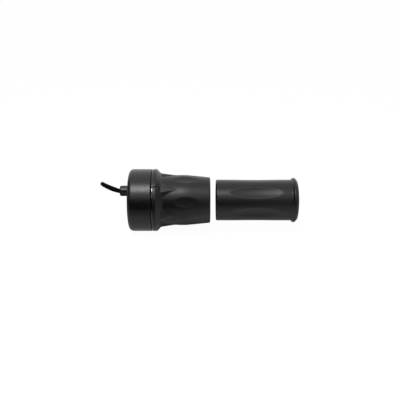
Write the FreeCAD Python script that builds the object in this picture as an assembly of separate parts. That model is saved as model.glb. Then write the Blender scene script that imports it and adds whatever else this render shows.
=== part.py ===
import FreeCAD, Part
import math
import os

# Half-length twist throttle with its matching end grip. Millimetres.
# +X runs outboard along the handlebar, +Y away from the rider, +Z up.
# The origin is on the bar's axis, at the seam between drum and twist sleeve.
# Angles about the bar are in degrees, from +Y towards +Z.

V = FreeCAD.Vector
ORIGIN = V(0, 0, 0)
BAR_AXIS = V(1, 0, 0)

# Handlebar and the plastic sleeve that slides over it
bar_diameter = 22.2
bar_clearance = 0.1
sleeve_wall = 1.8
bore_chamfer = 0.8

# Radial stack in the drum, from the hub out to the drum's skin
hub_step = 1.3
hub_clearance = 0.4
sensor_thickness = 1.5
sensor_gap = 0.8
magnet_rib_thickness = 3.8
rib_clearance = 0.5
drum_wall = 2.2

# Axial stack in the drum, from its inboard face out to the seam
drum_end_wall = 2.4
standoff_height = 1.6
board_thickness = 1.2
sensor_lead_height = 2.0
sensor_height = 3.0
spring_clearance = 0.5
spring_wire = 1.0
spring_pitch = 1.2
spring_end_gap = 0.87

# Outer edges of the drum
drum_edge_radius = 3.4
rim_edge_radius = 0.4

# Seam, bearing and end stop of the twist core
seam_gap = 0.4
running_clearance = 0.1
axial_play = 0.05
thrust_washer_thickness = 0.6
retaining_washer_thickness = 0.5
washer_side_clearance = 0.1
ring_thickness = 0.9
ring_height = 1.9
ring_groove_depth = 0.7
ring_opening = 40.0
ring_opening_angle = 90.0
sleeve_lip = 0.9

# Travel
travel = 70.0
stop_margin = 0.5
stop_lug_angle = 195.0
stop_lug_half = 5.0
stop_rib_half = 2.0
stop_rib_height = 2.8
stop_rib_recess = 1.0
stop_lug_length = 3.9

# Return spring
anchor_angle = 165.0
anchor_half = 6.5
drive_angle = 115.0
drive_half = 6.0
full_turns = 4
spring_points_per_turn = 12
leg_slot_clearance = 0.15
leg_cover = 1.2
spring_side_clearance = 0.6
drive_block_clearance = 0.3
leg_tip_margin = 0.2

# Sensor board, its screws and the sensor
board_start = 20.0
board_end = 104.0
board_edge_clearance = 0.6
board_screw_angles = (45.5, 92.0)
standoff_radius = 2.0
screw_radius = 0.8
screw_fit = 0.05
screw_head_radius = 1.8
screw_head_height = 1.0
screw_depth = 2.0
board_hole_clearance = 0.3
sensor_angle = 68.0
sensor_width = 4.1
sensor_chamfer = 0.4
lead_radius = 0.25
lead_spacing = 1.27
lead_tail = 0.6
lead_hole_clearance = 0.15

# Magnets in the twist core's rib
rib_board_gap = 1.8
rib_half = 46.0
magnet_offset = 38.0
magnet_half = 8.0
magnet_thickness = 1.6
magnet_length = 5.0
magnet_lip = 0.4
magnet_fit = 0.05

# Set screw under the drum
set_screw_angle = 270.0
insert_radius = 3.2
insert_length = 6.2
insert_step = 0.3
insert_groove = 0.3
insert_groove_width = 1.2
boss_wall = 0.9
set_screw_radius = 2.5
set_screw_fit = 0.05
set_screw_length = 9.0
set_screw_tip_gap = 0.1
set_screw_tip_chamfer = 0.8
hex_across_flats = 2.5
hex_depth = 3.0

# Cable gland and the three cores behind it
gland_angle = 3.9
gland_radius = 4.15
gland_length = 9.5
gland_edge_radius = 1.2
gland_seat_depth = 0.8
gland_neck_radius = 2.9
gland_flange_radius = 3.3
gland_flange_thickness = 1.0
gland_fit = 0.05
core_wire_diameter = 1.1
core_wire_spacing = 1.35
core_wire_bend = 1.2
core_wire_run = 8.0
core_wire_gap = 0.05

# Twist core
core_wall = 1.65
core_flange_thickness = 2.0
flange_cover = 2.0
key_count = 6
key_height = 0.9
key_width = 2.6
key_end_margin = 3.0

# Rubber twist sleeve
twist_length = 43.45
flange_width = 3.35
cone_length = 4.6
foot_wall = 3.85
crest_wall = 4.37
end_wall = 2.5
crest_position = 24.65
crest_radius = 60.0
foot_radius = 1.5
flange_edge_radius = 0.5
sleeve_end_radius = 1.0
end_recess = 3.0
end_recess_wall = 0.45

# Six raised gussets that grow out of the cone, and the index groove
pattern_count = 6
gusset_angle = 136.5
gusset_length = 11.8
gusset_half_width = 6.2
gusset_top_share = 0.42
gusset_tip_share = 0.05
gusset_height = 1.45
gusset_root = 1.2
gusset_overlap = 2.6
index_groove_width = 1.1
index_groove_depth = 0.5
index_groove_length = 6.8

# Six lens-shaped facets on the twist sleeve, cut across its crest
lens_angle = 166.5
lens_start = 16.35
lens_end = 34.95
lens_depth = 0.27
lens_cross_radius = 26.0
lens_cutter_reach = 1.3

# End grip further out on the same bar
grip_gap = 4.35
grip_length = 62.15
grip_squeeze = 0.05
grip_wall = 4.4
grip_end_thickness = 5.6
grip_edge_radius = 0.8
lip_height = 1.35
lip_width = 2.4
lip_slope = 0.8
lip_set_back = 5.7
dome_step = 0.5
dome_rise = 1.2
dome_edge_radius = 0.5
grip_lens_angle = 139.0
grip_lens_position = 30.1
grip_lens_half_length = 20.0
grip_lens_depth = 0.97
grip_lens_cross_radius = 34.0

# Cable: outer diameter, coil of the put-away length, tie and connector
cord_diameter = 3.3
cord_seat_depth = 0.9
cord_seat_drop = 0.65
arc_share = 0.45
coil_centre = V(9.5, 62.35, 0)
coil_mean_radius = 18.15
coil_turns_wide = 3
coil_turns_high = 3
tie_angle = 150.0
tie_width = 2.6
tie_thickness = 1.0
tie_clearance = 0.15
tie_head_size = 4.2
connector_width = 9.0
connector_height = 6.2
connector_length = 18.0
connector_edge_radius = 0.8
boot_length = 8.0
boot_end_radius = 2.2
boot_root_radius = 2.9
terminal_count = 3
terminal_spacing = 2.5
terminal_size = 1.2
terminal_length = 5.0
cavity_size = 1.5
cavity_depth = 7.0
latch_width = 3.2
latch_length = 10.0
latch_height = 0.8

# Radii that follow from the stacks
bore_radius = bar_diameter / 2 + bar_clearance
sleeve_radius = bore_radius + sleeve_wall
hub_radius = sleeve_radius + hub_step
stack_start = hub_radius + hub_clearance
spring_mean_radius = stack_start + spring_wire / 2
spring_outer_radius = stack_start + spring_wire
rib_inner = stack_start + sensor_thickness + sensor_gap
rib_outer = rib_inner + magnet_rib_thickness
drum_inner = rib_outer + rib_clearance
drum_radius = drum_inner + drum_wall
board_outer = drum_inner - board_edge_clearance
board_middle = (stack_start + board_outer) / 2
gland_place = (hub_radius + drum_inner) / 2
stop_inner = drum_inner - stop_rib_height
leg_seat_inner = spring_outer_radius + spring_side_clearance
drive_outer = stop_inner - drive_block_clearance
leg_tip = drive_outer - leg_tip_margin
core_inner = sleeve_radius + running_clearance
core_outer = core_inner + core_wall
core_flange_radius = drum_radius - flange_cover

# Places along the bar that follow from the stacks
spring_turns = full_turns + (drive_angle - anchor_angle) / 360
spring_length = spring_turns * spring_pitch + spring_wire
sensor_stack = board_thickness + sensor_lead_height + sensor_height
drum_length = drum_end_wall + standoff_height + sensor_stack
drum_length += spring_clearance + spring_length + spring_end_gap
x_end = -drum_length
x_floor = x_end + drum_end_wall
x_board = x_floor + standoff_height
x_board_top = x_board + board_thickness
x_sensor = x_board_top + sensor_lead_height
x_spring = x_sensor + sensor_height + spring_clearance + spring_wire / 2
x_spring_end = x_spring + spring_turns * spring_pitch
x_rib = x_board_top + rib_board_gap
x_core = seam_gap
x_shoulder = x_core - 2 * axial_play - thrust_washer_thickness
x_core_flange = x_core + core_flange_thickness
x_flange = x_core + flange_width
x_foot = x_flange + cone_length
x_twist_end = x_core + twist_length
x_core_end = x_twist_end - end_recess
x_retaining_washer = x_core_end + axial_play
x_ring = x_retaining_washer + retaining_washer_thickness + axial_play
x_sleeve_end = x_ring + ring_thickness + axial_play + sleeve_lip
x_gland_inside = x_floor + gland_flange_thickness
floor_height = -drum_radius


def polar(radius, angle):
    turn = math.radians(angle)
    return radius * math.cos(turn), radius * math.sin(turn)


def around_bar(shape, angle):
    turned = shape.copy()
    turned.rotate(ORIGIN, BAR_AXIS, angle)
    return turned


def pattern(shape, first_angle, count):
    return [around_bar(shape, first_angle + 360 * i / count) for i in range(count)]


def profile_face(points):
    corners = [V(x, r, 0) for x, r in points]
    return Part.Face(Part.makePolygon(corners + corners[:1]))


def turned(points, angle=360):
    return profile_face(points).revolve(ORIGIN, BAR_AXIS, angle)


def ring(x0, x1, inner, outer):
    return turned([(x0, inner), (x0, outer), (x1, outer), (x1, inner)])


def sector(x0, x1, inner, outer, start, end):
    block = turned([(x0, inner), (x0, outer), (x1, outer), (x1, inner)], end - start)
    return around_bar(block, start)


def rod(x0, x1, radius, place_radius=0.0, angle=0.0):
    y, z = polar(place_radius, angle)
    return Part.makeCylinder(radius, x1 - x0, V(x0, y, z), BAR_AXIS)


def radial_rod(x, r0, r1, radius, angle):
    y, z = polar(1.0, angle)
    direction = V(0, y, z)
    return Part.makeCylinder(radius, r1 - r0, V(x, 0, 0) + direction * r0, direction)


def round_edges_at(places):
    def on_place(edge, x, r):
        if edge.Degenerated or not isinstance(edge.Curve, Part.Circle):
            return False
        middle = edge.Curve.Center
        on_bar = math.hypot(middle.y, middle.z) < 0.001
        return on_bar and abs(middle.x - x) < 0.001 and abs(edge.Curve.Radius - r) < 0.001

    def pick(shape):
        return [e for e in shape.Edges if any(on_place(e, x, r) for x, r in places)]

    return pick


def filleted(shape, radius, places):
    return shape.makeFillet(radius, round_edges_at(places)(shape))


def chamfered(shape, size, places):
    return shape.makeChamfer(size, round_edges_at(places)(shape))


def rounded_route(points):
    # Straight runs joined by tangent arcs, each as large as its two runs allow
    edges = []
    here = points[0]
    radii = []
    for before, corner, after in zip(points, points[1:], points[2:]):
        back = (before - corner).normalize()
        ahead = (after - corner).normalize()
        turn = math.pi - back.getAngle(ahead)
        reach = arc_share * min((before - corner).Length, (after - corner).Length)
        radius = reach / math.tan(turn / 2)
        bisector = (back + ahead).normalize()
        inside = radius / math.cos(turn / 2) - radius
        enter = corner + back * reach
        leave = corner + ahead * reach
        edges.append(Part.LineSegment(here, enter).toShape())
        edges.append(Part.Arc(enter, corner + bisector * inside, leave).toShape())
        here = leave
        radii.append(radius)
    edges.append(Part.LineSegment(here, points[-1]).toShape())
    return Part.Wire(edges), radii


def round_rod_along(path, start, towards, diameter):
    section = Part.Wire(Part.makeCircle(diameter / 2, start, towards - start))
    return path.makePipeShell([section], True, False)


def cord_tube(name, points):
    path, radii = rounded_route(points)
    tube = round_rod_along(path, points[0], points[1], cord_diameter)
    expected = math.pi * cord_diameter ** 2 / 4 * path.Length
    print(name, "bend radii", [round(r, 1) for r in radii])
    print(name, "length", round(path.Length, 1), "volume share", round(tube.Volume / expected, 4))
    return tube


def barrel(position, half_length, depth, cross_radius, surface_radius):
    # Round cutter with a bulged flank: it leaves a lens-shaped dimple of the given depth.
    flank_radius = (half_length ** 2 + depth ** 2) / (2 * depth)
    reach = lens_cutter_reach * half_length
    drop = flank_radius - math.sqrt(flank_radius ** 2 - reach ** 2)
    flank = Part.Arc(
        V(position - reach, cross_radius - drop, 0),
        V(position, cross_radius, 0),
        V(position + reach, cross_radius - drop, 0),
    ).toShape()
    sides = Part.makePolygon(
        [
            V(position + reach, cross_radius - drop, 0),
            V(position + reach, 0, 0),
            V(position - reach, 0, 0),
            V(position - reach, cross_radius - drop, 0),
        ]
    )
    cutter = Part.Face(Part.Wire([flank] + sides.Edges)).revolve(ORIGIN, BAR_AXIS, 360)
    cutter.translate(V(0, surface_radius - depth + cross_radius, 0))
    return cutter


def sleeve_skin(x):
    # Radius of the twist sleeve's straight outline: from the cone's foot up to the crest, then down
    outline = [
        (x_foot, core_outer + foot_wall),
        (x_core + crest_position, core_outer + crest_wall),
        (x_twist_end, core_outer + end_wall),
    ]
    for (x0, r0), (x1, r1) in zip(outline, outline[1:]):
        if x <= x1:
            break
    return r0 + (r1 - r0) * (x - x0) / (x1 - x0)


def facet_cutter():
    # Bulged cutter that lies across the crest and meets the skin at both ends of the facet
    x_start = x_core + lens_start
    x_end_of_lens = x_core + lens_end
    half_length = (lens_end - lens_start) / 2
    r_start = sleeve_skin(x_start)
    r_end = sleeve_skin(x_end_of_lens)
    middle = V((x_start + x_end_of_lens) / 2, (r_start + r_end) / 2, 0)
    tilt = math.degrees(math.atan2(r_end - r_start, x_end_of_lens - x_start))
    cutter = barrel(middle.x, half_length, lens_depth, lens_cross_radius, middle.y)
    cutter.rotate(middle, V(0, 0, 1), tilt)
    return cutter


def index_groove():
    # Notch along the flange and down the cone, as deep in both
    x_groove_end = x_core + index_groove_length
    cone_slope = (drum_radius - core_outer - foot_wall) / cone_length
    floor = drum_radius - index_groove_depth
    above = drum_radius + drum_wall
    outline = profile_face(
        [
            (x_core, floor),
            (x_flange, floor),
            (x_groove_end, floor - cone_slope * (x_groove_end - x_flange)),
            (x_groove_end, above),
            (x_core, above),
        ]
    )
    groove = outline.extrude(V(0, 0, index_groove_width))
    groove.translate(V(0, 0, -index_groove_width / 2))
    return around_bar(groove, gusset_angle)


def stop_rib(angle):
    outer = drum_inner + drum_wall / 2
    start = angle - stop_rib_half
    return sector(x_floor, -stop_rib_recess, stop_inner, outer, start, angle + stop_rib_half)


def boss_place():
    boss_radius = insert_radius + boss_wall
    return x_spring - spring_wire / 2 - hub_clearance - boss_radius, boss_radius


def housing():
    body = turned(
        [
            (x_end, bore_radius),
            (x_end, drum_radius),
            (0, drum_radius),
            (0, drum_inner),
            (x_floor, drum_inner),
            (x_floor, hub_radius),
            (x_shoulder, hub_radius),
            (x_shoulder, sleeve_radius),
            (x_sleeve_end, sleeve_radius),
            (x_sleeve_end, bore_radius),
        ]
    )
    body = filleted(body, drum_edge_radius, [(x_end, drum_radius)])
    body = filleted(body, rim_edge_radius, [(0, drum_radius)])
    body = chamfered(body, bore_chamfer, [(x_end, bore_radius)])

    stop_reach = stop_lug_half + stop_rib_half + stop_margin
    x_boss, boss_radius = boss_place()
    wall_middle = drum_inner + drum_wall / 2
    anchor_top = x_spring + leg_cover
    added = [
        stop_rib(stop_lug_angle - stop_reach),
        stop_rib(stop_lug_angle + travel + stop_reach),
        radial_rod(x_boss, bore_radius + sleeve_wall / 2, wall_middle, boss_radius, set_screw_angle),
        sector(
            x_floor,
            anchor_top,
            leg_seat_inner,
            wall_middle,
            anchor_angle - anchor_half,
            anchor_angle + anchor_half,
        ),
    ]
    for angle in board_screw_angles:
        added.append(rod(x_floor - drum_end_wall / 2, x_board, standoff_radius, board_middle, angle))
    body = body.fuse(added)

    insert_start = hub_radius + insert_step
    screw_hole = set_screw_radius + set_screw_fit
    slot_width = spring_wire + 2 * leg_slot_clearance
    slot_floor = x_spring - slot_width / 2
    slot = Part.makeBox(
        anchor_top - slot_floor + leg_cover,
        leg_tip + leg_tip_margin - stack_start,
        slot_width,
        V(slot_floor, stack_start, -slot_width / 2),
    )
    groove_radius = sleeve_radius - ring_groove_depth
    gland_seat = gland_radius + gland_fit
    cuts = [
        radial_rod(x_boss, bore_radius - sleeve_wall, insert_start, screw_hole, set_screw_angle),
        radial_rod(x_boss, insert_start, drum_radius + drum_wall, insert_radius, set_screw_angle),
        around_bar(slot, anchor_angle),
        rod(x_end - drum_wall, x_end + gland_seat_depth, gland_seat, gland_place, gland_angle),
        rod(x_end, x_floor, gland_neck_radius + gland_fit, gland_place, gland_angle),
        ring(x_ring - axial_play, x_ring + ring_thickness + axial_play, groove_radius, hub_radius),
    ]
    for angle in board_screw_angles:
        pilot = rod(x_board_top - screw_depth - standoff_height, x_board, screw_radius, board_middle, angle)
        cuts.append(pilot)
    return body.cut(cuts).removeSplitter()


def screw_insert():
    x_boss, _ = boss_place()
    start = hub_radius + insert_step
    middle = start + insert_length / 2
    groove_start = middle - insert_groove_width / 2
    groove_end = middle + insert_groove_width / 2
    end = start + insert_length
    waist = insert_radius - insert_groove
    rim = insert_radius + insert_groove
    body = radial_rod(x_boss, start, end, insert_radius, set_screw_angle)
    groove = radial_rod(x_boss, groove_start, groove_end, rim, set_screw_angle)
    groove = groove.cut(radial_rod(x_boss, groove_start, groove_end, waist, set_screw_angle))
    thread = radial_rod(x_boss, start, end, set_screw_radius + set_screw_fit, set_screw_angle)
    return body.cut([groove, thread])


def set_screw():
    x_boss, _ = boss_place()
    tip = bore_radius + set_screw_tip_gap
    back = tip + set_screw_length
    body = radial_rod(x_boss, tip, back, set_screw_radius, set_screw_angle)
    tip_edge = [e for e in body.Edges if abs(e.CenterOfMass.z + tip) < 0.001]
    body = body.makeChamfer(set_screw_tip_chamfer, tip_edge)
    corner = hex_across_flats / math.sqrt(3)
    corners = [V(*polar(corner, 60 * i), 0) for i in range(6)]
    socket = Part.Face(Part.makePolygon(corners + corners[:1])).extrude(V(0, 0, hex_depth))
    socket.translate(V(x_boss, 0, -back))
    return body.cut(socket)


def sensor_board():
    board = sector(x_board, x_board_top, stack_start, board_outer, board_start, board_end)
    holes = []
    for angle in board_screw_angles:
        holes.append(rod(x_board, x_board_top, screw_radius + board_hole_clearance, board_middle, angle))
    for lead in lead_rods(lead_radius + lead_hole_clearance):
        holes.append(lead)
    return board.cut(holes)


def board_screws():
    screws = []
    for angle in board_screw_angles:
        tip = x_board_top - screw_depth - standoff_height / 2
        shank = rod(tip, x_board_top, screw_radius - screw_fit, board_middle, angle)
        head = rod(x_board_top, x_board_top + screw_head_height, screw_head_radius, board_middle, angle)
        screws.append(shank.fuse(head).removeSplitter())
    return Part.makeCompound(screws)


def lead_rods(radius):
    rods = []
    middle = stack_start + sensor_thickness / 2
    length = x_sensor - x_board + lead_tail
    for i in (-1, 0, 1):
        lead = Part.makeCylinder(radius, length, V(x_board - lead_tail, middle, i * lead_spacing), BAR_AXIS)
        rods.append(around_bar(lead, sensor_angle))
    return rods


def hall_sensor():
    corner = V(x_sensor, stack_start, -sensor_width / 2)
    body = Part.makeBox(sensor_height, sensor_thickness, sensor_width, corner)
    face_y = stack_start + sensor_thickness
    edges = []
    for edge in body.Edges:
        middle = edge.CenterOfMass
        along_bar = abs(middle.x - x_sensor - sensor_height / 2) < 0.001
        if along_bar and abs(middle.y - face_y) < 0.001:
            edges.append(edge)
    return around_bar(body.makeChamfer(sensor_chamfer, edges), sensor_angle)


def return_spring():
    # Torsion spring in one wire: a leg in the drum's anchor, the coil, a leg in the core's block
    count = round(spring_points_per_turn * spring_turns)
    step = 360 * spring_turns / count
    corner_radius = spring_mean_radius / math.cos(math.radians(step / 2))
    points = [V(x_spring, *polar(leg_tip, anchor_angle))]
    for i in range(count + 1):
        x = x_spring + spring_pitch * spring_turns * i / count
        points.append(V(x, *polar(corner_radius, anchor_angle + i * step)))
    points.append(V(x_spring_end, *polar(leg_tip, drive_angle)))
    path, _ = rounded_route(points)
    return round_rod_along(path, points[0], points[1], spring_wire)


def thrust_washer():
    inner = sleeve_radius + running_clearance
    x = x_shoulder + axial_play
    return ring(x, x + thrust_washer_thickness, inner, hub_radius - washer_side_clearance)


def retaining_washer():
    inner = sleeve_radius + running_clearance
    x = x_retaining_washer
    return ring(x, x + retaining_washer_thickness, inner, core_outer - washer_side_clearance)


def retaining_ring():
    inner = sleeve_radius - ring_groove_depth + axial_play
    outer = inner + ring_height
    start = ring_opening_angle + ring_opening / 2
    end = start + 360 - ring_opening
    return sector(x_ring, x_ring + ring_thickness, inner, outer, start, end)


def cable_gland():
    outside = rod(x_end - gland_length, x_end + gland_seat_depth, gland_radius)
    outside = filleted(outside, gland_edge_radius, [(x_end - gland_length, gland_radius)])
    neck = rod(x_end, x_floor, gland_neck_radius)
    inside = rod(x_floor, x_gland_inside, gland_flange_radius)
    body = outside.fuse([neck, inside]).removeSplitter()
    body.translate(V(0, *polar(gland_place, gland_angle)))
    return body


def core_wire(number):
    # Out of the gland, round a quarter bend and along the board to its pad
    x_run = x_board_top + core_wire_diameter / 2 + core_wire_gap
    radial = gland_place + number * core_wire_spacing
    bend = core_wire_bend
    near = bend * (1 - math.sqrt(0.5))
    start = V(x_gland_inside, radial, 0)
    bend_start = V(x_run - bend, radial, 0)
    bend_middle = V(x_run - near, radial, near)
    bend_end = V(x_run, radial, bend)
    path = Part.Wire(
        [
            Part.LineSegment(start, bend_start).toShape(),
            Part.Arc(bend_start, bend_middle, bend_end).toShape(),
            Part.LineSegment(bend_end, V(x_run, radial, core_wire_run)).toShape(),
        ]
    )
    section = Part.Wire(Part.makeCircle(core_wire_diameter / 2, start, BAR_AXIS))
    return around_bar(path.makePipeShell([section], True, False), gland_angle)


def magnet(side, fit=0.0):
    angle = sensor_angle - travel / 2 + side * magnet_offset
    x0 = x_rib + magnet_lip - fit
    x1 = x_rib + magnet_lip + magnet_length + fit
    half = magnet_half + math.degrees(fit / rib_inner)
    return sector(x0, x1, rib_inner, rib_inner + magnet_thickness + fit, angle - half, angle + half)


def key_bars():
    length = x_core_end - key_end_margin - x_core_flange
    depth = core_wall / 2 + key_height
    bar = Part.makeBox(
        length, depth, key_width, V(x_core_flange, core_outer - core_wall / 2, -key_width / 2)
    )
    return pattern(bar, gusset_angle, key_count)


def twist_core():
    rib_angle = sensor_angle - travel / 2
    drive_start = x_spring_end - leg_cover
    flange_middle = x_core + core_flange_thickness / 2
    tube = ring(x_core, x_core_end, core_inner, core_outer)
    added = [
        ring(x_core, x_core_flange, core_inner, core_flange_radius),
        sector(x_rib, flange_middle, rib_inner, rib_outer, rib_angle - rib_half, rib_angle + rib_half),
        sector(
            x_core - stop_lug_length,
            flange_middle,
            rib_inner,
            rib_outer,
            stop_lug_angle - stop_lug_half,
            stop_lug_angle + stop_lug_half,
        ),
        sector(
            drive_start,
            flange_middle,
            leg_seat_inner,
            drive_outer,
            drive_angle - drive_half,
            drive_angle + drive_half,
        ),
    ]
    body = tube.fuse(added + key_bars())
    slot_width = spring_wire + 2 * leg_slot_clearance
    slot_end = x_spring_end + slot_width / 2
    slot = Part.makeBox(
        slot_end - drive_start + leg_cover,
        drive_outer - stack_start + drive_block_clearance,
        slot_width,
        V(drive_start - leg_cover, stack_start, -slot_width / 2),
    )
    cuts = [around_bar(slot, drive_angle), magnet(-1, magnet_fit), magnet(1, magnet_fit)]
    return body.cut(cuts).removeSplitter()


def gusset_section(x, half_width, top_radius):
    root_radius = core_outer + foot_wall - gusset_root
    top_half = half_width * gusset_top_share
    return Part.makePolygon(
        [
            V(x, root_radius, -half_width),
            V(x, top_radius, -top_half),
            V(x, top_radius, top_half),
            V(x, root_radius, half_width),
            V(x, root_radius, -half_width),
        ]
    )


def gusset():
    # Tapered wedge: full width where the cone meets the body, running out to a point
    foot_radius_out = core_outer + foot_wall
    start = x_foot - gusset_overlap
    tip = x_foot + gusset_length
    slope = gusset_height / gusset_length
    widening = gusset_half_width / gusset_length
    base = gusset_section(
        start,
        gusset_half_width + gusset_overlap * widening,
        foot_radius_out + gusset_height + gusset_overlap * slope,
    )
    end = gusset_section(tip, gusset_tip_share * gusset_half_width, foot_radius_out)
    return Part.makeLoft([base, end], True, True)


def grip_sleeve():
    foot = core_outer + foot_wall
    crest = core_outer + crest_wall
    end = core_outer + end_wall
    x_crest = x_core + crest_position
    recess = core_outer + end_recess_wall
    body = turned(
        [
            (x_core, core_outer),
            (x_core, drum_radius),
            (x_flange, drum_radius),
            (x_foot, foot),
            (x_crest, crest),
            (x_twist_end, end),
            (x_twist_end, recess),
            (x_core_end, recess),
            (x_core_end, core_outer),
        ]
    )
    body = filleted(body, crest_radius, [(x_crest, crest)])
    body = filleted(body, foot_radius, [(x_foot, foot)])
    body = filleted(body, flange_edge_radius, [(x_core, drum_radius), (x_flange, drum_radius)])
    body = filleted(body, sleeve_end_radius, [(x_twist_end, end)])
    body = body.fuse(pattern(gusset(), gusset_angle, pattern_count))
    flange_pocket = ring(x_core, x_core_flange, core_inner, core_flange_radius)
    cuts = pattern(facet_cutter(), lens_angle, pattern_count)
    cuts += [index_groove(), flange_pocket] + key_bars()
    return body.cut(cuts).removeSplitter()


def end_grip():
    bore = bar_diameter / 2 - grip_squeeze
    outer = bore + grip_wall
    lip = outer + lip_height
    x0 = x_twist_end + grip_gap
    x1 = x0 + grip_length
    x_lip = x1 - lip_set_back
    x_lip_top = x_lip + lip_slope
    x_lip_end = x_lip_top + lip_width
    x_dome = x1 - dome_rise
    dome_radius = outer - dome_step
    bore_end = x1 - grip_end_thickness
    flat = [
        (bore_end, 0),
        (bore_end, bore),
        (x0, bore),
        (x0, outer),
        (x_lip, outer),
        (x_lip_top, lip),
        (x_lip_end, lip),
        (x_lip_end + lip_slope, dome_radius),
        (x_dome, dome_radius),
    ]
    sides = Part.makePolygon([V(x, r, 0) for x, r in flat])
    bow = (dome_radius ** 2 + dome_rise ** 2) / (2 * dome_rise)
    half = dome_radius / 2
    middle_x = x1 - bow + math.sqrt(bow ** 2 - half ** 2)
    dome = Part.Arc(V(x_dome, dome_radius, 0), V(middle_x, half, 0), V(x1, 0, 0)).toShape()
    centre = Part.makeLine(V(x1, 0, 0), V(bore_end, 0, 0))
    body = Part.Face(Part.Wire(sides.Edges + [dome, centre])).revolve(ORIGIN, BAR_AXIS, 360)
    body = filleted(body, dome_edge_radius, [(x_dome, dome_radius)])
    body = filleted(body, lip_slope / 2, [(x_lip_top, lip), (x_lip_end, lip)])
    body = filleted(body, grip_edge_radius, [(x0, outer)])
    cutter = barrel(
        x0 + grip_lens_position, grip_lens_half_length, grip_lens_depth, grip_lens_cross_radius, outer
    )
    return body.cut(pattern(cutter, grip_lens_angle, pattern_count)).removeSplitter()


# Route of the cable: out of the gland, round behind the drum and down to the coil
gland_tip = V(x_end - gland_length, *polar(gland_place, gland_angle))
run_points = [
    gland_tip + V(cord_seat_depth, 0, -cord_seat_drop),
    V(-31.2, 18.4, 1.85),
    V(-38.2, 21.0, 4.4),
    V(-42.4, 27.6, 4.1),
    V(-42.4, 36.0, 0.6),
    V(-37.8, 42.7, -4.3),
    V(-30.5, 45.5, -8.3),
    V(-21.5, 46.6, -12.4),
    V(-11.5, 46.2, -16.2),
    V(-1.5, 45.0, -18.8),
    V(8.0, 44.3, -20.2),
]
# From the coil round its far side to the connector
connector_end = V(9.6, 90.9, floor_height + connector_height / 2)
tail_points = [
    V(26.6, 56.2, -20.6),
    V(29.9, 65.2, -20.6),
    V(30.8, 75.6, -20.6),
    V(26.6, 84.6, -20.5),
    V(18.6, connector_end.y, connector_end.z),
    connector_end,
]


def coil_section(margin):
    # Rounded section of the bundle, grown by a margin, in the plane of radius and height
    wide = coil_turns_wide * cord_diameter + 2 * margin
    high = coil_turns_high * cord_diameter + 2 * margin
    bottom = floor_height + tie_thickness + tie_clearance - margin
    return wide, high, bottom


def cable_coil():
    wide, high, bottom = coil_section(0.0)
    inner = coil_mean_radius - wide / 2
    outer = coil_mean_radius + wide / 2
    foot = V(0, 0, bottom)
    bundle = Part.makeCylinder(outer, high, foot).cut(Part.makeCylinder(inner, high, foot))
    bundle = bundle.makeFillet(cord_diameter / 2, [e for e in bundle.Edges if e.Closed])
    bundle.translate(coil_centre)
    return bundle


def coil_tie():
    def block(margin, length):
        wide, high, bottom = coil_section(margin)
        box = Part.makeBox(wide, length, high, V(coil_mean_radius - wide / 2, -length / 2, bottom))
        upright = [e for e in box.Edges if abs(e.Vertexes[0].Y - e.Vertexes[1].Y) > length / 2]
        return box.makeFillet(cord_diameter / 2, upright)

    band = block(tie_clearance + tie_thickness, tie_width).cut(block(tie_clearance, 2 * tie_width))
    wide, high, bottom = coil_section(tie_clearance)
    head_corner = V(coil_mean_radius - tie_head_size / 2, -tie_head_size / 2, bottom + high)
    head = Part.makeBox(tie_head_size, tie_head_size, tie_thickness + tie_head_size / 2, head_corner)
    tie = band.fuse(head).removeSplitter()
    tie.rotate(ORIGIN, V(0, 0, 1), tie_angle)
    tie.translate(coil_centre)
    return tie


def connector_places():
    first = -(terminal_count - 1) / 2 * terminal_spacing
    return [first + i * terminal_spacing for i in range(terminal_count)]


def connector_body():
    boot = Part.makeCone(boot_end_radius, boot_root_radius, boot_length, connector_end, V(-1, 0, 0))
    corner = connector_end - V(boot_length + connector_length, connector_width / 2, connector_height / 2)
    shell = Part.makeBox(connector_length, connector_width, connector_height, corner)
    along = [e for e in shell.Edges if abs(e.Vertexes[0].X - e.Vertexes[1].X) > connector_length / 2]
    shell = shell.makeFillet(connector_edge_radius, along)
    latch_corner = connector_end + V(-boot_length - latch_length, -latch_width / 2, connector_height / 2)
    latch = Part.makeBox(latch_length, latch_width, latch_height, latch_corner)
    body = shell.fuse([boot, latch]).removeSplitter()
    cavities = []
    for offset in connector_places():
        place = V(
            corner.x, connector_end.y + offset - cavity_size / 2, connector_end.z - cavity_size / 2
        )
        cavities.append(Part.makeBox(cavity_depth, cavity_size, cavity_size, place))
    return body.cut(cavities)


def connector_terminals():
    x_front = connector_end.x - boot_length - connector_length
    terminals = []
    for offset in connector_places():
        place = V(
            x_front + cavity_depth - terminal_length,
            connector_end.y + offset - terminal_size / 2,
            connector_end.z - terminal_size / 2,
        )
        terminals.append(Part.makeBox(terminal_length, terminal_size, terminal_size, place))
    return Part.makeCompound(terminals)


pieces = {
    "housing": housing(),
    "screw_insert": screw_insert(),
    "set_screw": set_screw(),
    "cable_gland": cable_gland(),
    "sensor_board": sensor_board(),
    "board_screws": board_screws(),
    "hall_sensor": hall_sensor(),
    "sensor_leads": Part.makeCompound(lead_rods(lead_radius)),
    "supply_wire": core_wire(-1),
    "ground_wire": core_wire(0),
    "signal_wire": core_wire(1),
    "return_spring": return_spring(),
    "thrust_washer": thrust_washer(),
    "retaining_washer": retaining_washer(),
    "retaining_ring": retaining_ring(),
    "twist_core": twist_core(),
    "magnet_open": magnet(-1),
    "magnet_closed": magnet(1),
    "grip_sleeve": grip_sleeve(),
    "end_grip": end_grip(),
    "cable_run": cord_tube("cable_run", run_points),
    "cable_coil": cable_coil(),
    "coil_tie": coil_tie(),
    "cable_tail": cord_tube("cable_tail", tail_points),
    "connector_body": connector_body(),
    "connector_terminals": connector_terminals(),
}

os.makedirs("parts", exist_ok=True)
for name, shape in pieces.items():
    shape.exportStep(f"parts/{name}.step")
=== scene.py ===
import math

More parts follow.
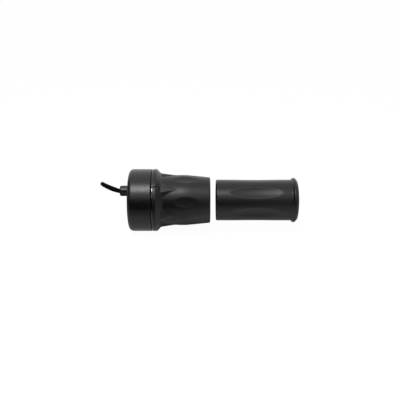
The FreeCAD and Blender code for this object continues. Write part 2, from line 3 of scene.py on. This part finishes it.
import bmesh
import bpy
import numpy as np
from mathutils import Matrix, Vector

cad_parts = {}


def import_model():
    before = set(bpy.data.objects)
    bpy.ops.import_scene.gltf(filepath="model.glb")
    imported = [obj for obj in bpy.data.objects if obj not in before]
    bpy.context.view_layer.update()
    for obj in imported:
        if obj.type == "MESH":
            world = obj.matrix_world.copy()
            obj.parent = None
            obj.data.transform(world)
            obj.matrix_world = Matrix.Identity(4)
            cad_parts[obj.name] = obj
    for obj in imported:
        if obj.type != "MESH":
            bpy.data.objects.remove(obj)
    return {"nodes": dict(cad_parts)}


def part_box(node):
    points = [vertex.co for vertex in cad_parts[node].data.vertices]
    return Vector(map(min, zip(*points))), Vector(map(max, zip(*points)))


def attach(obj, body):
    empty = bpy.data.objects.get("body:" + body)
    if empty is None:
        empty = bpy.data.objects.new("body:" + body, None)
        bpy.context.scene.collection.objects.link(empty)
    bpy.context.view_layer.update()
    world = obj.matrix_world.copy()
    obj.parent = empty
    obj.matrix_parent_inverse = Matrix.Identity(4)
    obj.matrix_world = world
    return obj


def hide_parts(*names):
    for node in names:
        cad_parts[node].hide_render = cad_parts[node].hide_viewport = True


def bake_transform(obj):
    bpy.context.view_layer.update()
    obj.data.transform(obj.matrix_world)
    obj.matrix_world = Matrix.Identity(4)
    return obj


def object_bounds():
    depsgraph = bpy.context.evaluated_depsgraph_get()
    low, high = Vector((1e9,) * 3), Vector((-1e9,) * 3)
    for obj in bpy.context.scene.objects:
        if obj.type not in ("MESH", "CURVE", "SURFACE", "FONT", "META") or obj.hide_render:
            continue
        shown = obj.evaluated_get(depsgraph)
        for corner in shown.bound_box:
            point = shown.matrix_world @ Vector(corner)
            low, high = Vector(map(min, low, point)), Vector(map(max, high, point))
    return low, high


# A half-length twist throttle and its matching end grip, black on a white studio floor.
# Metres. +X runs outboard along the handlebar, +Y away from the rider, +Z up.
# Angles are in degrees. About the bar they run from +Y towards +Z.

MM = 0.001
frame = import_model()
cad_lo, cad_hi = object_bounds()

# Places that the frame gives
sleeve_lo, sleeve_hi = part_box("grip_sleeve")
core_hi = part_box("twist_core")[1]
grip_lo, grip_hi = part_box("end_grip")
floor_height = cad_lo.z

# Camera: on the rider's side of the bar, a little from above
camera_elevation = 20.0
camera_distance = 0.47
view_width = 304 * MM
view_centre = Vector((36.15 * MM, 0, 0))
sensor_width = 36.0

# Cable: the way out of the gland, the coil of the put-away length and the way to the connector.
# Its points, the coil's centre and the coil's radius are in millimetres.
cord_diameter = 3.3 * MM
run_points = [
    (-25.8, 17.76, 0.75),
    (-31.2, 18.4, 1.55),
    (-38.2, 21.0, 4.0),
    (-42.4, 27.6, 4.0),
    (-42.4, 36.0, 0.3),
    (-37.8, 42.7, -4.65),
    (-30.5, 45.5, -8.6),
    (-21.5, 46.6, -12.4),
    (-11.5, 45.3, -17.3),
    (-1.8, 42.4, -20.4),
]
coil_centre = (9.5, 62.35, -17.4)
coil_mean_radius = 18.15
coil_entry_angle = 265.0
coil_exit_angle = 340.0
coil_points_per_turn = 24
coil_shift_angle = 45.0
# The turns' places in the bundle: steps outwards and upwards from its middle
coil_places = [(1, -1), (0, -1), (-1, -1), (-1, 0), (-1, 1), (0, 1), (0, 0), (1, 0)]
tail_points = [
    (34.2, 64.4, -18.8),
    (34.4, 75.6, -20.6),
    (29.0, 85.2, -20.5),
    (19.4, 90.6, -20.4),
    (9.6, 90.9, -20.4),
]

# Rubber sleeve on the twist core
pattern_count = 6
core_flange_thickness = 2.0 * MM
core_wall_outer = 14.75 * MM
core_flange_radius = core_hi.z
flange_width = 3.35 * MM
cone_length = 4.6 * MM
foot_radius = 18.6 * MM
crest_radius = 19.12 * MM
end_radius = 17.25 * MM
crest_position = 24.65 * MM
crest_bend = 60 * MM
foot_bend = 1.5 * MM
flange_edge = 0.5 * MM
sleeve_end_edge = 1.0 * MM
recess_radius = 15.2 * MM
rubbed_width = 1.1 * MM
gusset_angle = 136.5
gusset_length = 11.8 * MM
gusset_half_width = 6.2 * MM
gusset_top_share = 0.42
gusset_tip_share = 0.02
gusset_height = 1.45 * MM
gusset_root = 1.2 * MM
gusset_blend = 0.45 * MM
index_groove_half_width = 0.65 * MM
index_groove_depth = 0.5 * MM
index_groove_length = 6.8 * MM
lens_angle = 166.5
lens_start = 16.35 * MM
lens_end = 34.95 * MM
lens_depth = 0.27 * MM
lens_cross_radius = 26 * MM
lens_blend = 0.18 * MM
lens_cutter_reach = 1.3
# Stands for the floor of a dimple where there is none: far outside the part
no_floor = 1.0

# End grip
grip_bore = 11.05 * MM
grip_radius = 15.45 * MM
grip_end_thickness = 5.6 * MM
grip_edge = 0.8 * MM
lip_radius = grip_hi.z
lip_set_back = 5.45 * MM
lip_slope = 1.15 * MM
lip_width = 1.55 * MM
lip_fillet = 1.2 * MM
lip_edge = 1.0 * MM
dome_radius = 15.1 * MM
dome_rise = 1.2 * MM
grip_lens_angle = 139.0
grip_lens_position = 29.6 * MM
grip_lens_half_length = 19.4 * MM
grip_lens_depth = 1.3 * MM
grip_lens_cross_radius = 16 * MM
# The dimples cut only the skin: what lies further out than this share of its radius
grip_skin_share = 0.9

# Fineness of the meshes
sleeve_segments = 400
grip_segments = 360
dome_rings = 24
outer_step = 0.27 * MM
grip_step = 0.42 * MM
inner_step = 4 * MM
arc_step = 9.0
crease_angle = 50.0
cable_steps_along = 6
cable_steps_around = 5

# Patterns of the finishes
tone_patch = 9 * MM
gloss_patch = 2.5 * MM
patch_detail = 3.0
grain_detail = 4.0
grain_strength = 0.5
plain_specular = 0.5
metal_mark_size = 0.3 * MM
metal_mark_depth = 0.01 * MM
metal_mark_strength = 0.3
unstretched = (1, 1, 1)
# The range in which most of the noise lies, which a finish spreads between its two ends
noise_low = 0.3
noise_high = 0.7
# Blue over red and green in the greys
cool_tint = 1.04

# Circuit board
board_mask = [(0.012, 0.09, 0.035, 1), (0.016, 0.11, 0.045, 1)]
board_track = (0.06, 0.24, 0.09, 1)
board_track_length = 2.4 * MM
board_track_pitch = 0.9 * MM
board_track_width = 0.12 * MM
board_track_depth = 0.02 * MM
board_track_strength = 0.4
board_gloss_patch = 1.5 * MM
board_roughness = (0.3, 0.45)

# Studio: a strength or brightness of 1 is white
white = (1, 1, 1, 1)
world_light = 0.4
backdrop_strength = 1.0
floor_reach = 6.0
floor_paper = (0.8, 0.8, 0.8, 1)
floor_shine = 1.05
floor_shine_share = 0.92
key_centre = -130 * MM
key_elevation = 62
key_distance = 0.8
key_size = (0.42, 0.3)
key_radiance = 5.9
spark_centre = -59 * MM
spark_elevation = 59
spark_distance = 0.79
spark_size = (0.015, 0.2)
spark_radiance = 32.0
card_height = floor_height + 1 * MM
card_left = -0.9
card_right = 0.9
card_front = -0.6
front_card_top = 0.29
side_card_back = 0.5
side_card_top = 0.6


# Outlines and turned meshes
def along(start, end, step):
    """Points from start up to, and not including, end."""
    count = max(1, math.ceil((end - start).length / step))
    return [start.lerp(end, i / count) for i in range(count)]


def outline(corners, step):
    """Points along (x, radius, edge radius) corners: arcs at the rounded ones, straight between."""
    places = [Vector((x, r)) for x, r, _ in corners]
    points = []
    here = places[0]
    for i in range(1, len(corners) - 1):
        before, corner, after = places[i - 1], places[i], places[i + 1]
        back = (before - corner).normalized()
        ahead = (after - corner).normalized()
        turn = math.pi - back.angle(ahead)
        edge = corners[i][2]
        reach = edge * math.tan(turn / 2)
        enter = corner + back * reach
        leave = corner + ahead * reach
        points += along(here, enter, step)
        if edge:
            centre = corner + (back + ahead).normalized() * (edge / math.cos(turn / 2))
            by_angle = math.ceil(math.degrees(turn) / arc_step)
            by_length = math.ceil(edge * turn / step)
            count = max(2, by_angle, by_length)
            first = enter - centre
            side = math.copysign(turn, back.x * ahead.y - back.y * ahead.x)
            for k in range(count):
                bend = -side * k / count
                cos, sin = math.cos(bend), math.sin(bend)
                x = first.x * cos - first.y * sin
                r = first.x * sin + first.y * cos
                points.append(centre + Vector((x, r)))
        here = leave
    points += along(here, places[-1], step)
    points.append(places[-1])
    return points


def turned_mesh(name, points, segments, radius_at, closed):
    """Surface turned about the bar. A closed outline is a ring, an open one ends on the axis."""
    angles = np.arange(segments) * (2 * math.pi / segments)
    x = np.array([p.x for p in points])[:, None]
    r = np.array([p.y for p in points])[:, None]
    radius = radius_at(x, r, np.degrees(angles)[None, :])
    y = radius * np.cos(angles)
    z = radius * np.sin(angles)
    rows = np.stack(np.broadcast_arrays(x, y, z), axis=-1)
    mesh = bpy.data.meshes.new(name)
    build = bmesh.new()
    rings = []
    for row, point in zip(rows, points):
        if point.y > 0:
            rings.append([build.verts.new(place) for place in row])
        else:
            rings.append([build.verts.new((point.x, 0, 0))])
    pairs = list(zip(rings, rings[1:]))
    if closed:
        pairs.append((rings[-1], rings[0]))
    for one, other in pairs:
        for i in range(segments):
            j = (i + 1) % segments
            around = [(one, i), (one, j), (other, j), (other, i)]
            corners = [ring[k % len(ring)] for ring, k in around]
            build.faces.new(dict.fromkeys(corners))
    bmesh.ops.recalc_face_normals(build, faces=build.faces)
    build.to_mesh(mesh)
    build.free()
    mesh.shade_smooth()
    mesh.set_sharp_from_angle(angle=math.radians(crease_angle))
    piece = bpy.data.objects.new(name, mesh)
    bpy.context.scene.collection.objects.link(piece)
    return piece


def soft_min(a, b, blend):
    mix = np.clip(0.5 + 0.5 * (b - a) / blend, 0, 1)
    return b + (a - b) * mix - blend * mix * (1 - mix)


def soft_max(a, b, blend):
    return -soft_min(-a, -b, blend)


def offset_from(angle, first, count):
    """Angle, in radians, from the nearest of the evenly spaced places that start at first."""
    pitch = 360 / count
    return np.radians((angle - first + pitch / 2) % pitch - pitch / 2)


def cut_floor(offset, axis, cutter, from_middle, half_length):
    """Radius of the floor that a round cutter leaves, with its axis and its own radius along x."""
    inside = np.maximum(cutter ** 2 - (axis * np.sin(offset)) ** 2, 0)
    floor = axis * np.cos(offset) - np.sqrt(inside)
    in_reach = (inside > 0) & (np.abs(from_middle) < lens_cutter_reach * half_length)
    return np.where(in_reach, floor, no_floor)


def grip_lens_floor(x, offset):
    """Radius of the floor of the end grip's dimples, from a cutter with a bulged flank."""
    from_middle = x - grip_lo.x - grip_lens_position
    flank = (grip_lens_half_length ** 2 + grip_lens_depth ** 2) / (2 * grip_lens_depth)
    reach = np.clip(from_middle, -flank, flank)
    cutter = grip_lens_cross_radius - flank + np.sqrt(flank ** 2 - reach ** 2)
    axis = grip_radius - grip_lens_depth + grip_lens_cross_radius
    return cut_floor(offset, axis, cutter, from_middle, grip_lens_half_length)


def facet_floor(x, offset, start, end):
    """Radius of a facet across the crest, from a bulged cutter from start to end (x, radius)."""
    slope = (end.y - start.y) / (end.x - start.x)
    half_length = (end.x - start.x) / 2
    from_middle = x - start.x - half_length
    chord = start.y + slope * (x - start.x)
    lowest = chord - lens_depth * (1 - (from_middle / half_length) ** 2)
    axis = chord + lens_cross_radius - lens_depth
    return cut_floor(offset, axis, axis - lowest, from_middle, half_length)


def gusset_top(x, offset, x_foot):
    """Radius of a wedge, widest and highest at the cone's foot, that runs out to a point."""
    left = np.clip(1 - (x - x_foot) / gusset_length, gusset_tip_share, None)
    half = gusset_half_width * left
    top = foot_radius + gusset_height * left
    top_half = half * gusset_top_share
    lean = (half - top_half) / (top - foot_radius + gusset_root)
    side = (top_half + top * lean) / (np.abs(np.sin(offset)) + lean * np.cos(offset))
    wedge = soft_min(top / np.cos(offset), side, gusset_blend)
    return np.where(x < x_foot + gusset_length, wedge, 0.0)


def twist_sleeve():
    x0 = sleeve_lo.x
    x1 = sleeve_hi.x
    x_foot = x0 + flange_width + cone_length
    x_pocket = x0 + core_flange_thickness
    x_crest = x0 + crest_position
    outer = outline(
        [
            (x0, core_flange_radius, 0),
            (x0, sleeve_hi.z, flange_edge),
            (x0 + flange_width, sleeve_hi.z, flange_edge),
            (x_foot, foot_radius, foot_bend),
            (x_crest, crest_radius, crest_bend),
            (x1, end_radius, sleeve_end_edge),
            (x1, recess_radius, 0),
        ],
        outer_step,
    )
    inner = outline(
        [
            (core_hi.x, recess_radius, 0),
            (core_hi.x, core_wall_outer, 0),
            (x_pocket, core_wall_outer, 0),
            (x_pocket, core_flange_radius, 0),
        ],
        inner_step,
    )
    outside = np.array([True] * len(outer) + [False] * len(inner))[:, None]
    flank_x = [x_foot, x_crest, x1]
    flank_radius = [foot_radius, crest_radius, end_radius]
    lens_ends = [
        Vector((x, np.interp(x, flank_x, flank_radius)))
        for x in (x0 + lens_start, x0 + lens_end)
    ]

    def radius_at(x, r, angle):
        wedge = gusset_top(x, offset_from(angle, gusset_angle, pattern_count), x_foot)
        raised = soft_max(r, wedge, gusset_blend)
        floor = facet_floor(x, offset_from(angle, lens_angle, pattern_count), *lens_ends)
        dimpled = soft_min(raised, floor, lens_blend)
        across = np.abs(offset_from(angle, gusset_angle, 1)) * r / index_groove_half_width
        groove = index_groove_depth * np.clip(1 - across ** 2, 0, 1)
        grooved = dimpled - groove * (x < x0 + index_groove_length)
        return np.where(outside & (r > recess_radius), grooved, r)

    piece = turned_mesh("twist_sleeve", outer + inner, sleeve_segments, radius_at, closed=True)
    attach(piece, "twist")
    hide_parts("grip_sleeve")
    return piece


def outer_grip():
    x0 = grip_lo.x
    x1 = grip_hi.x
    x_lip = x1 - lip_set_back
    x_dome = x1 - dome_rise
    bore_end = x1 - grip_end_thickness
    bore = outline([(bore_end, 0, 0), (bore_end, grip_bore, 0), (x0, grip_bore, 0)], inner_step)
    skin = outline(
        [
            (x0, grip_bore, 0),
            (x0, grip_radius, grip_edge),
            (x_lip, grip_radius, lip_fillet),
            (x_lip + lip_slope, lip_radius, lip_edge),
            (x_lip + lip_slope + lip_width, lip_radius, lip_edge),
            (x_dome, dome_radius, 0),
        ],
        grip_step,
    )
    bow = (dome_radius ** 2 + dome_rise ** 2) / (2 * dome_rise)
    dome = []
    for i in range(1, dome_rings):
        r = dome_radius * (1 - i / dome_rings)
        dome.append(Vector((x1 - bow + math.sqrt(bow ** 2 - r ** 2), r)))
    points = bore[:-1] + skin + dome + [Vector((x1, 0))]

    def radius_at(x, r, angle):
        floor = grip_lens_floor(x, offset_from(angle, grip_lens_angle, pattern_count))
        in_skin = r > grip_skin_share * grip_radius
        return np.where(in_skin, soft_min(r, floor, lens_blend), r)

    piece = turned_mesh("outer_grip", points, grip_segments, radius_at, closed=False)
    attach(piece, "fixed")
    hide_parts("end_grip")
    return piece


def wound_spring():
    """The return spring, copied from its CAD node as it lies. In the throttle one leg stays in the
    drum, and the other is wound up by the core.
    """
    mesh = frame["nodes"]["return_spring"].data.copy()
    piece = bpy.data.objects.new("wound_spring", mesh)
    bpy.context.scene.collection.objects.link(piece)
    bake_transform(piece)
    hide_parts("return_spring")
    return piece


# Cable
def coil_points():
    """The coil's turns, through the bundle's places one after the other."""
    step = 360 / coil_points_per_turn
    spread = math.cos(math.radians(step / 2))
    total = 360 * (len(coil_places) - 1) + coil_exit_angle - coil_entry_angle
    points = []
    for i in range(int(total / step) + 1):
        gone = i * step
        out, up = coil_places[0]
        for k, (next_out, next_up) in enumerate(coil_places[1:]):
            # Each shift to the next place comes earlier in its turn than the one before
            shift_start = (360 - coil_shift_angle) * (k + 1)
            share = min(max((gone - shift_start) / coil_shift_angle, 0), 1)
            ease = share * share * (3 - 2 * share)
            out += (next_out - coil_places[k][0]) * ease
            up += (next_up - coil_places[k][1]) * ease
        angle = math.radians(coil_entry_angle + gone)
        radius = (coil_mean_radius + out * cord_diameter / MM) / spread
        x = coil_centre[0] + radius * math.cos(angle)
        y = coil_centre[1] + radius * math.sin(angle)
        z = coil_centre[2] + up * cord_diameter / MM
        points.append((x, y, z))
    return points


def cable():
    curve = bpy.data.curves.new("cable", "CURVE")
    curve.dimensions = "3D"
    curve.resolution_u = cable_steps_along
    # With a depth of 1, a point's radius is the cord's own
    curve.bevel_depth = 1.0
    curve.bevel_resolution = cable_steps_around
    curve.use_fill_caps = True
    points = run_points + coil_points() + tail_points
    spline = curve.splines.new("NURBS")
    spline.points.add(len(points) - 1)
    for knot, point in zip(spline.points, points):
        knot.co = (*(value * MM for value in point), 1)
        knot.radius = cord_diameter / 2
    spline.order_u = 3
    spline.use_endpoint_u = True
    piece = bpy.data.objects.new("cable", curve)
    bpy.context.scene.collection.objects.link(piece)
    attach(piece, "fixed")
    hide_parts("cable_run", "cable_coil", "cable_tail")
    return piece


# Materials
def grey(value):
    return (value, value, value * cool_tint)


# Dark and light tone, lowest and highest roughness, size and depth of the grain, and the specular
# level where it isn't the plain one
moulded_finishes = {
    "grip_rubber": (grey(0.0022), grey(0.0032), (0.33, 0.41), 0.18 * MM, 0.010 * MM, 0.4),
    "end_grip_rubber": (grey(0.0022), grey(0.0032), (0.30, 0.36), 0.18 * MM, 0.010 * MM, 0.4),
    "cable_jacket": (grey(0.0015), grey(0.0022), (0.7, 0.8), 0.3 * MM, 0.006 * MM, 0.05),
    "rubbed_rubber": (grey(0.0022), grey(0.0032), (0.08, 0.12), 0.3 * MM, 0.001 * MM, 0.8),
    "drum_plastic": (grey(0.0022), grey(0.0032), (0.27, 0.33), 0.16 * MM, 0.004 * MM),
    "core_plastic": (grey(0.010), grey(0.014), (0.35, 0.45), 0.25 * MM, 0.006 * MM),
    "gland_rubber": (grey(0.003), grey(0.0045), (0.25, 0.33), 0.2 * MM, 0.006 * MM),
    "sensor_epoxy": (grey(0.016), grey(0.024), (0.5, 0.65), 0.15 * MM, 0.006 * MM),
    "tie_nylon": (grey(0.008), grey(0.012), (0.3, 0.42), 0.25 * MM, 0.005 * MM),
    "connector_nylon": (grey(0.010), grey(0.015), (0.35, 0.48), 0.2 * MM, 0.006 * MM),
    "black_wire": (grey(0.008), grey(0.012), (0.35, 0.45), 0.3 * MM, 0.004 * MM),
    "red_wire": ((0.35, 0.012, 0.010), (0.45, 0.02, 0.015), (0.35, 0.45), 0.3 * MM, 0.004 * MM),
    "green_wire": ((0.02, 0.20, 0.05), (0.03, 0.26, 0.07), (0.35, 0.45), 0.3 * MM, 0.004 * MM),
    "washer_nylon": ((0.62, 0.60, 0.54), (0.70, 0.68, 0.62), (0.35, 0.5), 0.3 * MM, 0.005 * MM),
}
# Dark and light tone, lowest and highest roughness, and how much finer the marks are along x, y, z
metal_finishes = {
    "screw_steel": (grey(0.35), grey(0.45), (0.25, 0.4), (1, 1, 6)),
    "tinned_wire": (grey(0.60), grey(0.75), (0.22, 0.35), (1, 4, 4)),
    "magnet_nickel": (grey(0.48), grey(0.60), (0.2, 0.35), unstretched),
    "insert_brass": ((0.55, 0.36, 0.12), (0.68, 0.47, 0.18), (0.2, 0.35), (4, 4, 1)),
    "spring_steel": (grey(0.30), grey(0.42), (0.2, 0.35), (3, 1, 1)),
    "ring_steel": (grey(0.10), grey(0.16), (0.3, 0.45), (1, 5, 5)),
}
# Finish of the nodes that keep their CAD form, and of the spring
node_finishes = {
    "housing": "drum_plastic",
    "screw_insert": "insert_brass",
    "set_screw": "screw_steel",
    "cable_gland": "gland_rubber",
    "sensor_board": "board",
    "board_screws": "screw_steel",
    "hall_sensor": "sensor_epoxy",
    "sensor_leads": "tinned_wire",
    "supply_wire": "red_wire",
    "ground_wire": "black_wire",
    "signal_wire": "green_wire",
    "return_spring": "spring_steel",
    "thrust_washer": "washer_nylon",
    "retaining_washer": "washer_nylon",
    "retaining_ring": "ring_steel",
    "twist_core": "core_plastic",
    "magnet_open": "magnet_nickel",
    "magnet_closed": "magnet_nickel",
    "coil_tie": "tie_nylon",
    "connector_body": "connector_nylon",
    "connector_terminals": "tinned_wire",
}


def new_material(name):
    material = bpy.data.materials.new(name)
    material.use_nodes = True
    return material, material.node_tree, material.node_tree.nodes["Principled BSDF"]


def bare_material(name):
    material, tree, _ = new_material(name)
    tree.nodes.clear()
    return material, tree


def add(tree, kind, inputs=None, **settings):
    node = tree.nodes.new(kind)
    for key, value in settings.items():
        setattr(node, key, value)
    for key, value in (inputs or {}).items():
        node.inputs[key].default_value = value
    return node


def noise(tree, size, detail=patch_detail, stretch=unstretched):
    place = add(tree, "ShaderNodeTexCoord")
    sized = add(tree, "ShaderNodeMapping", {"Scale": stretch})
    texture = add(tree, "ShaderNodeTexNoise", {"Scale": 1 / size, "Detail": detail})
    tree.links.new(place.outputs["Object"], sized.inputs["Vector"])
    tree.links.new(sized.outputs["Vector"], texture.inputs["Vector"])
    return texture.outputs["Fac"]


def between(tree, source, ends):
    """The noise's middle range spread from the first of the ends to the second."""
    spread = add(
        tree,
        "ShaderNodeMapRange",
        {"From Min": noise_low, "From Max": noise_high, "To Min": ends[0], "To Max": ends[1]},
    )
    tree.links.new(source, spread.inputs["Value"])
    return spread.outputs["Result"]


def two_tones(tree, source, dark, light):
    ramp = add(tree, "ShaderNodeValToRGB")
    low, high = ramp.color_ramp.elements
    low.position = noise_low
    low.color = (*dark, 1)
    high.position = noise_high
    high.color = (*light, 1)
    tree.links.new(source, ramp.inputs["Fac"])
    return ramp.outputs["Color"]


def grain(tree, shader, source, depth, strength):
    bump = add(tree, "ShaderNodeBump", {"Strength": strength, "Distance": depth})
    tree.links.new(source, bump.inputs["Height"])
    tree.links.new(bump.outputs["Normal"], shader.inputs["Normal"])


def moulded(name, dark, light, roughness, grain_size, grain_depth, specular=plain_specular):
    """Plastic or rubber: two close tones, uneven gloss and a fine moulded grain."""
    material, tree, shader = new_material(name)
    colour = two_tones(tree, noise(tree, tone_patch), dark, light)
    tree.links.new(colour, shader.inputs["Base Color"])
    gloss = between(tree, noise(tree, gloss_patch), roughness)
    tree.links.new(gloss, shader.inputs["Roughness"])
    grain(tree, shader, noise(tree, grain_size, grain_detail), grain_depth, grain_strength)
    shader.inputs["Specular IOR Level"].default_value = specular
    return material


def metal(name, dark, light, roughness, stretch):
    """Bare or plated metal with fine marks along one way."""
    material, tree, shader = new_material(name)
    marks = noise(tree, metal_mark_size, grain_detail, stretch)
    tree.links.new(two_tones(tree, marks, dark, light), shader.inputs["Base Color"])
    tree.links.new(between(tree, marks, roughness), shader.inputs["Roughness"])
    grain(tree, shader, marks, metal_mark_depth, metal_mark_strength)
    shader.inputs["Metallic"].default_value = 1.0
    return material


def circuit_board(name):
    """Green solder mask over a net of copper tracks."""
    material, tree, shader = new_material(name)
    place = add(tree, "ShaderNodeTexCoord")
    tracks = add(
        tree,
        "ShaderNodeTexBrick",
        {
            "Color1": board_mask[0],
            "Color2": board_mask[1],
            "Mortar": board_track,
            "Scale": 1.0,
            "Brick Width": board_track_length,
            "Row Height": board_track_pitch,
            "Mortar Size": board_track_width,
        },
    )
    turned = add(tree, "ShaderNodeMapping", {"Rotation": (0, math.radians(90), 0)})
    tree.links.new(place.outputs["Object"], turned.inputs["Vector"])
    tree.links.new(turned.outputs["Vector"], tracks.inputs["Vector"])
    tree.links.new(tracks.outputs["Color"], shader.inputs["Base Color"])
    gloss = between(tree, noise(tree, board_gloss_patch), board_roughness)
    tree.links.new(gloss, shader.inputs["Roughness"])
    grain(tree, shader, tracks.outputs["Fac"], board_track_depth, board_track_strength)
    return material


def all_finishes():
    finishes = {"board": circuit_board("board")}
    for name, values in moulded_finishes.items():
        finishes[name] = moulded(name, *values)
    for name, values in metal_finishes.items():
        finishes[name] = metal(name, *values)
    return finishes


def dress(piece, *materials):
    piece.data.materials.clear()
    for material in materials:
        piece.data.materials.append(material)


def rub(piece, x_end):
    """Gives the second finish to the faces up to x_end, where the sleeve rubs against the drum."""
    for face in piece.data.polygons:
        if face.center.x < x_end:
            face.material_index = 1


# Studio
def aim(thing, target):
    thing.rotation_mode = "QUATERNION"
    thing.rotation_quaternion = (target - thing.location).to_track_quat("-Z", "Y")


def towards(elevation):
    """Unit vector from the object to the camera's side, at an elevation."""
    e = math.radians(elevation)
    return Vector((0, -math.cos(e), math.sin(e)))


def camera():
    data = bpy.data.cameras.new("camera")
    data.sensor_width = sensor_width
    data.lens = sensor_width * camera_distance / view_width
    view = bpy.data.objects.new("camera", data)
    view.location = view_centre + towards(camera_elevation) * camera_distance
    aim(view, view_centre)
    bpy.context.scene.collection.objects.link(view)
    bpy.context.scene.camera = view


def area_light(name, centre, elevation, distance, size, radiance):
    """Lamp over the camera's side, square across from a place on the bar's line."""
    data = bpy.data.lights.new(name, "AREA")
    data.shape = "RECTANGLE"
    data.size, data.size_y = size
    data.energy = radiance * math.pi * size[0] * size[1]
    lamp = bpy.data.objects.new(name, data)
    target = Vector((centre, 0, 0))
    lamp.location = target + towards(elevation) * distance
    aim(lamp, target)
    bpy.context.scene.collection.objects.link(lamp)


def seen_directly(tree):
    """One for a ray from the camera, a mirror or glass, nought for one that only carries light."""
    path = add(tree, "ShaderNodeLightPath")
    either = add(tree, "ShaderNodeMath", operation="MAXIMUM")
    any_of = add(tree, "ShaderNodeMath", operation="MAXIMUM")
    tree.links.new(path.outputs["Is Camera Ray"], either.inputs[0])
    tree.links.new(path.outputs["Is Glossy Ray"], either.inputs[1])
    tree.links.new(either.outputs[0], any_of.inputs[0])
    tree.links.new(path.outputs["Is Transmission Ray"], any_of.inputs[1])
    return any_of.outputs[0]


def world():
    """Plain light from all sides, and a white backdrop where a ray sees it."""
    studio_world = bpy.data.worlds.new("studio")
    studio_world.use_nodes = True
    tree = studio_world.node_tree
    tree.nodes.clear()
    light = add(tree, "ShaderNodeBackground", {"Color": white, "Strength": world_light})
    backdrop = add(tree, "ShaderNodeBackground", {"Color": white, "Strength": backdrop_strength})
    mix = add(tree, "ShaderNodeMixShader")
    out = add(tree, "ShaderNodeOutputWorld")
    tree.links.new(seen_directly(tree), mix.inputs["Fac"])
    tree.links.new(light.outputs[0], mix.inputs[1])
    tree.links.new(backdrop.outputs[0], mix.inputs[2])
    tree.links.new(mix.outputs[0], out.inputs["Surface"])
    bpy.context.scene.world = studio_world


def plane(name, places):
    mesh = bpy.data.meshes.new(name)
    mesh.from_pydata(places, [], [(0, 1, 2, 3)])
    sheet = bpy.data.objects.new(name, mesh)
    bpy.context.scene.collection.objects.link(sheet)
    return sheet


def lying(x0, x1, y0, y1, z):
    return [(x0, y0, z), (x1, y0, z), (x1, y1, z), (x0, y1, z)]


def facing_along_y(x0, x1, y, z0, z1):
    return [(x0, y, z0), (x1, y, z0), (x1, y, z1), (x0, y, z1)]


def facing_along_x(x, y0, y1, z0, z1):
    return [(x, y0, z0), (x, y1, z0), (x, y1, z1), (x, y0, z1)]


def floor():
    """White floor: part of it shines, and the rest shows the lamps' light and the shadow."""
    reach = floor_reach
    sheet = plane("floor", lying(-reach, reach, -reach, reach, floor_height))
    material, tree = bare_material("floor_paper")
    paper = add(tree, "ShaderNodeBsdfDiffuse", {"Color": floor_paper})
    shine = add(tree, "ShaderNodeEmission", {"Strength": floor_shine})
    share = add(tree, "ShaderNodeMath", {1: floor_shine_share}, operation="MULTIPLY")
    mix = add(tree, "ShaderNodeMixShader")
    out = add(tree, "ShaderNodeOutputMaterial")
    tree.links.new(seen_directly(tree), share.inputs[0])
    tree.links.new(share.outputs[0], mix.inputs["Fac"])
    tree.links.new(paper.outputs[0], mix.inputs[1])
    tree.links.new(shine.outputs[0], mix.inputs[2])
    tree.links.new(mix.outputs[0], out.inputs["Surface"])
    dress(sheet, material)


def card(name, places, brightness):
    """Studio card that shows only in the gloss of the object."""
    sheet = plane(name, places)
    material, tree = bare_material(name)
    shine = add(tree, "ShaderNodeEmission", {"Strength": brightness})
    out = add(tree, "ShaderNodeOutputMaterial")
    tree.links.new(shine.outputs[0], out.inputs["Surface"])
    dress(sheet, material)
    sheet.visible_camera = False
    sheet.visible_diffuse = False
    sheet.visible_shadow = False
    sheet.visible_transmission = False


def floor_card(name, x0, x1, y0, y1, brightness):
    card(name, lying(x0, x1, y0, y1, card_height), brightness)


def front_card(name, x0, x1, brightness):
    places = facing_along_y(x0, x1, card_front, card_height, front_card_top)
    card(name, places, brightness)


def side_card(name, x, brightness):
    places = facing_along_x(x, card_front, side_card_back, card_height, side_card_top)
    card(name, places, brightness)


def studio():
    world()
    floor()
    area_light("key", key_centre, key_elevation, key_distance, key_size, key_radiance)
    area_light("spark", spark_centre, spark_elevation, spark_distance, spark_size, spark_radiance)
    # Cards, by their ends along x, then along y for those on the floor, and their brightness
    floor_card("front_floor_card", card_left, 0.08, card_front, -0.09, 0.0)
    front_card("front_card", card_left, 0.10, 0.0)
    front_card("front_right_card", 0.10, card_right, 0.36)
    floor_card("front_right_floor_card", 0.08, card_right, card_front, -0.09, 0.4)
    floor_card("middle_floor_card", card_left, 0.03, -0.09, -0.045, 0.34)
    floor_card("near_floor_card", card_left, 0.03, -0.045, -0.018, 0.6)
    floor_card("right_floor_card", 0.03, card_right, -0.09, -0.027, 0.66)
    floor_card("right_near_floor_card", 0.03, card_right, -0.027, -0.018, 0.9)
    # The three cards under and behind the object are dimmer than the floor: they are painted
    # shadow, the object's own shadow on the floor as only its gloss shows it
    floor_card("under_shadow_card", card_left, card_right, -0.018, -0.009, 0.5)
    floor_card("back_shadow_card", card_left, 0.045, -0.009, 0.15, 0.12)
    floor_card("back_right_shadow_card", 0.045, card_right, -0.009, 0.15, 0.35)
    side_card("left_card", -0.55, 0.2)
    side_card("right_card", 0.65, 0.55)


bpy.context.scene.view_settings.view_transform = "Standard"
camera()
finishes = all_finishes()
dress(cable(), finishes["cable_jacket"])
sleeve = twist_sleeve()
dress(sleeve, finishes["grip_rubber"], finishes["rubbed_rubber"])
rub(sleeve, sleeve_lo.x + rubbed_width)
dress(outer_grip(), finishes["end_grip_rubber"])
dress(wound_spring(), finishes[node_finishes["return_spring"]])
for node, finish in node_finishes.items():
    dress(frame["nodes"][node], finishes[finish])
studio()
